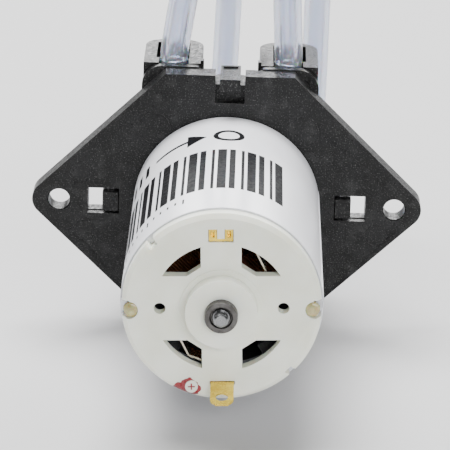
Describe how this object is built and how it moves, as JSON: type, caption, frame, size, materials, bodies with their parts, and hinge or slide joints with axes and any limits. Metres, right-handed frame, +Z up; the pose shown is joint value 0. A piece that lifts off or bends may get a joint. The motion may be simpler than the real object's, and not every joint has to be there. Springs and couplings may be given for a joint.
{
  "type": "peristaltic pump",
  "caption": "Small motor-driven dosing pump that rolls a soft tube flat inside a clip-on head, with a mounting plate between motor and head.",
  "frame": {"origin": "on the motor axis, midway between the two mounting holes, in the motor-side face of the mounting plate", "axes": "+Y along the axis from the motor to the pump head, +Z up towards the tube outlets, +X to the right seen from the motor"},
  "size_m": [0.058, 0.1144, 0.0694],
  "materials": {
    "black_nylon": "speckled moulded nylon",
    "milky_nylon": "milky, slightly see-through",
    "white_acetal": "smooth",
    "silicone": "clear and soft",
    "plated_steel": "zinc plated",
    "steel": "ground",
    "silicon_steel": "stacked sheets",
    "sintered_iron": "oiled and porous",
    "bronze": "oiled and porous",
    "brass": "stamped",
    "copper": "enamelled wire",
    "ferrite": "ground",
    "carbon": "pressed",
    "resin_board": "pressed board",
    "label_paper": "coated, with a plain bar pattern",
    "red_paint": "hand-dabbed"
  },
  "bodies": {
    "pump_body": {"mounting_plate": "black_nylon", "pump_housing": "black_nylon", "pump_tube": "silicone", "left_tube": "silicone", "right_tube": "silicone", "motor_can": "plated_steel", "motor_label": "label_paper", "motor_screws": "steel", "front_bearing": "bronze", "magnet_left": "ferrite", "magnet_right": "ferrite", "magnet_spring_top": "steel", "magnet_spring_bottom": "steel", "motor_end_cap": "milky_nylon", "rear_bearing": "sintered_iron", "polarity_mark": "red_paint", "positive_terminal": "brass", "negative_terminal": "brass", "brush_arm_left": "brass", "brush_arm_right": "brass", "brush_left": "carbon", "brush_right": "carbon"},
    "rotor": {"motor_shaft": "steel", "shaft_washers": "resin_board", "shaft_spacer": "white_acetal", "armature_core": "silicon_steel", "armature_insulators": "resin_board", "armature_windings": "copper", "commutator_core": "resin_board", "commutator": "copper"},
    "carrier": {"carrier_rear": "white_acetal", "carrier_front": "white_acetal", "roller_pin_1": "steel", "roller_pin_2": "steel", "roller_pin_3": "steel"},
    "roller_1": {"roller_1": "white_acetal"},
    "roller_2": {"roller_2": "white_acetal"},
    "roller_3": {"roller_3": "white_acetal"}
  },
  "joints": [
    {"name": "rotor_spin", "type": "hinge", "parent": "pump_body", "child": "rotor", "pos_m": [0, 0, 0], "axis": [0, 1, 0], "continuous": true},
    {"name": "carrier_spin", "type": "hinge", "parent": "pump_body", "child": "carrier", "pos_m": [0, 0.00865, 0], "axis": [0, 1, 0], "continuous": true},
    {"name": "roller_1_spin", "type": "hinge", "parent": "carrier", "child": "roller_1", "pos_m": [0, 0.00865, 0.0067], "axis": [0, 1, 0], "continuous": true},
    {"name": "roller_2_spin", "type": "hinge", "parent": "carrier", "child": "roller_2", "pos_m": [0.0058, 0.00865, -0.00335], "axis": [0, 1, 0], "continuous": true},
    {"name": "roller_3_spin", "type": "hinge", "parent": "carrier", "child": "roller_3", "pos_m": [-0.0058, 0.00865, -0.00335], "axis": [0, 1, 0], "continuous": true}
  ],
  "couplings": [
    {"joint": "carrier_spin", "follows": "rotor_spin", "ratio": 0.08621},
    {"joint": "roller_1_spin", "follows": "rotor_spin", "ratio": -0.19037},
    {"joint": "roller_2_spin", "follows": "rotor_spin", "ratio": -0.19037},
    {"joint": "roller_3_spin", "follows": "rotor_spin", "ratio": -0.19037}
  ]
}
